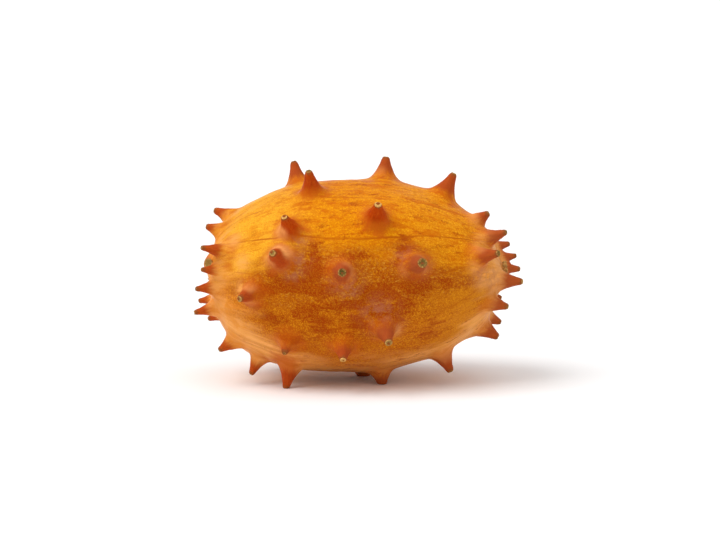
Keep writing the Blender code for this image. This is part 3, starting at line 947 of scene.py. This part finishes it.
def makeCaps(horns):
    pattern = makeCap()
    rng = np.random.default_rng(5)
    caps = []
    for number, horn in enumerate(horns):
        cap = pattern.copy()
        cap.data = pattern.data.copy()
        bpy.context.scene.collection.objects.link(cap)
        size, darkness = capValues["size"] * rng.uniform(0.9, 1.1), rng.uniform(0.6, 1.0)
        spin = rng.uniform(0, math.tau)
        facing = horn["facing"].copy()
        for station, turn, oddSize, oddDarkness, tip, swing in capValues["oddCaps"]:
            if standsAt(horn, station, turn, 0.004):
                size, darkness = oddSize, oddDarkness
                tipped = Matrix.Rotation(math.radians(-tip), 3, "X")
                facing.rotate(tipped @ Matrix.Rotation(math.radians(swing), 3, "Z"))
        fitCap(cap, horn, number, size, facing, darkness, spin)
        caps.append(cap)
    bpy.data.objects.remove(pattern)
    joinPieces(caps)
    joined = bpy.context.object
    joined.name = joined.data.name = "hornEnds"
    addRoughening(joined, "corkGrain", capValues["roughSize"], capValues["roughHeight"], depth=3)
    applyAll(joined)
    keepOverGround(joined.data)  # the roughening must not push the feet into the floor
    return joined


# the stem's stub and the blossom's scar, one at each end
stubValues = {
    "name": "stemStub",
    "side": 1,
    "sides": 28,
    "radius": 0.0035,
    "depth": 0.0022,
    "stands": 0.0027,  # over the plain body
    "insets": ((0.00035, 0.00010), (0.00060, -0.00030), (0.00080, -0.00010), (0.00060, 0.00035)),
    "roughSize": 0.0011,
    "roughHeight": 0.0007,
    "fibres": 9,
    "fibreRadii": (0.00032, 0.00012),
    "fibreLength": 0.0013,
    "darkness": 0.55,
}
scarValues = {
    "name": "blossomScar",
    "side": -1,
    "sides": 28,
    "radius": 0.0029,
    "depth": 0.0018,
    "stands": 0.0006,
    "insets": ((0.00040, 0.00012), (0.00070, -0.00045), (0.00080, -0.00010), (0.00050, 0.00030)),
    "roughSize": 0.0010,
    "roughHeight": 0.0004,
    "fibres": 5,
    "fibreRadii": (0.00032, 0.00012),
    "fibreLength": 0.0013,
    "darkness": 0.45,
}


def addFibres(values):
    # torn ends of the strands inside the stem
    rng = np.random.default_rng(3)
    thick, thin = values["fibreRadii"]
    fibres = []
    for fibre in range(values["fibres"]):
        angle, far = rng.uniform(0, math.tau), values["radius"] * rng.uniform(0.15, 0.62)
        bpy.ops.mesh.primitive_cone_add(
            vertices=7, radius1=thick, radius2=thin, depth=values["fibreLength"],
            location=(far * math.cos(angle), far * math.sin(angle), values["depth"] * 0.5),
            rotation=(rng.uniform(-0.35, 0.35), rng.uniform(-0.35, 0.35), 0))
        fibres.append(bpy.context.object)
    return fibres


def makeButton(values):
    bpy.ops.mesh.primitive_cylinder_add(
        vertices=values["sides"], radius=values["radius"], depth=values["depth"], end_fill_type="NGON")
    button = bpy.context.object
    button.name = button.data.name = values["name"]
    editTop(button)
    insetSteps(values["insets"])
    bpy.ops.mesh.poke()
    backToObject()
    joinPieces([button] + addFibres(values))
    makeFiner(button, 2)
    giveCorkFields(button.data, values["radius"], values["darkness"])
    end = Vector((values["side"] * (body["halfLength"] + values["stands"] - values["depth"] / 2), 0, 0))
    turned = Vector((values["side"], 0, 0)).to_track_quat("Z", "Y").to_matrix().to_4x4()
    button.data.transform(lying @ Matrix.Translation(end) @ turned)
    addRoughening(button, values["name"] + "Grain", values["roughSize"], values["roughHeight"], depth=3)
    applyAll(button)
    return button


# the room that the fruit is shown in
stageValues = {
    "floorSize": 12.0,
    "wallHeight": 2.5,
    "foldRadius": 0.9,
    "floorColour": (0.93, 0.93, 0.93),
    "skyColour": (1.0, 1.0, 1.0),
    "skyStrength": 0.44,
    # where each soft lamp shines from, its strength and its spread
    "key": ((-0.60, -0.26, 0.78), 1.95, math.radians(46)),
    "fill": ((0.60, -0.35, 0.70), 0.55, math.radians(70)),
    "top": ((0.0, 0.02, 1.0), 0.65, math.radians(70)),
}


def pickBackEdge(floor, lowOnly):
    behind = stageValues["floorSize"] / 2 - 0.01
    bm = bmesh.from_edit_mesh(floor.data)
    for edge in bm.edges:
        low = max(vert.co.z for vert in edge.verts) < 0.01
        edge.select_set(min(vert.co.y for vert in edge.verts) > behind and (low or not lowOnly))
    bmesh.update_edit_mesh(floor.data)


def makeFloor():
    # a pale floor that folds up softly into a wall behind
    bpy.ops.mesh.primitive_plane_add(size=stageValues["floorSize"])
    floor = bpy.context.object
    floor.name = floor.data.name = "floor"
    bpy.ops.object.mode_set(mode="EDIT")
    bpy.ops.mesh.select_mode(type="EDGE")
    bpy.ops.mesh.select_all(action="DESELECT")
    pickBackEdge(floor, lowOnly=False)
    bpy.ops.mesh.extrude_region_move(TRANSFORM_OT_translate={"value": (0, 0, stageValues["wallHeight"])})
    pickBackEdge(floor, lowOnly=True)
    bpy.ops.mesh.bevel(offset=stageValues["foldRadius"], segments=24)
    backToObject()
    bpy.ops.object.shade_smooth()
    material, shader = newMaterial("paleFloor")
    shader.inputs["Base Color"].default_value = (*stageValues["floorColour"], 1)
    shader.inputs["Roughness"].default_value = 0.9
    shader.inputs["Specular IOR Level"].default_value = 0.1
    floor.data.materials.append(material)


def makeLight():
    world = bpy.data.worlds.new("studio")
    world.use_nodes = True
    background = world.node_tree.nodes["Background"]
    background.inputs["Color"].default_value = (*stageValues["skyColour"], 1)
    background.inputs["Strength"].default_value = stageValues["skyStrength"]
    bpy.context.scene.world = world
    for name in ("key", "fill", "top"):
        shinesFrom, strength, spread = stageValues[name]
        lamp = bpy.data.lights.new(name, "SUN")
        lamp.energy, lamp.angle = strength, spread
        light = bpy.data.objects.new(name, lamp)
        light.location = Vector(shinesFrom)
        light.rotation_euler = Vector(shinesFrom).to_track_quat("Z", "Y").to_euler()
        bpy.context.scene.collection.objects.link(light)


cameraValues = {
    "lens": 100.0,
    "sensor": 36.0,
    "distance": 0.722,
    "elevation": math.radians(7.0),
    "aside": 0.0018,  # the aim is a little right of the body's middle, and above it
    "above": 0.00195,
}


def makeCamera():
    values = cameraValues
    looking = Vector((0, math.cos(values["elevation"]), -math.sin(values["elevation"])))
    above = Vector((0, math.sin(values["elevation"]), math.cos(values["elevation"])))
    lens = bpy.data.cameras.new("camera")
    lens.lens = values["lens"]
    lens.sensor_width = values["sensor"]
    camera = bpy.data.objects.new("camera", lens)
    aim = Vector(body["middle"]) + Vector((values["aside"], 0, 0)) + above * values["above"]
    camera.location = aim - looking * values["distance"]
    camera.rotation_mode = "QUATERNION"
    camera.rotation_quaternion = looking.to_track_quat("-Z", "Y")
    bpy.context.scene.collection.objects.link(camera)
    bpy.context.scene.camera = camera


# the fruit first, then what it is shown with
skin, horns = makeSkin()
finishPiece(skin, makeRind())
print("skin:", len(skin.data.polygons), "faces")

cork = makeCork()
caps = makeCaps(horns)
finishPiece(caps, cork)
print("horn ends:", len(caps.data.polygons), "faces")

for values in (stubValues, scarValues):
    button = makeButton(values)
    finishPiece(button, cork)
    print(values["name"] + ":", len(button.data.polygons), "faces")

makeFloor()
makeLight()
makeCamera()
bpy.context.scene.view_settings.view_transform = "Standard"
print("floor, light and camera ready")
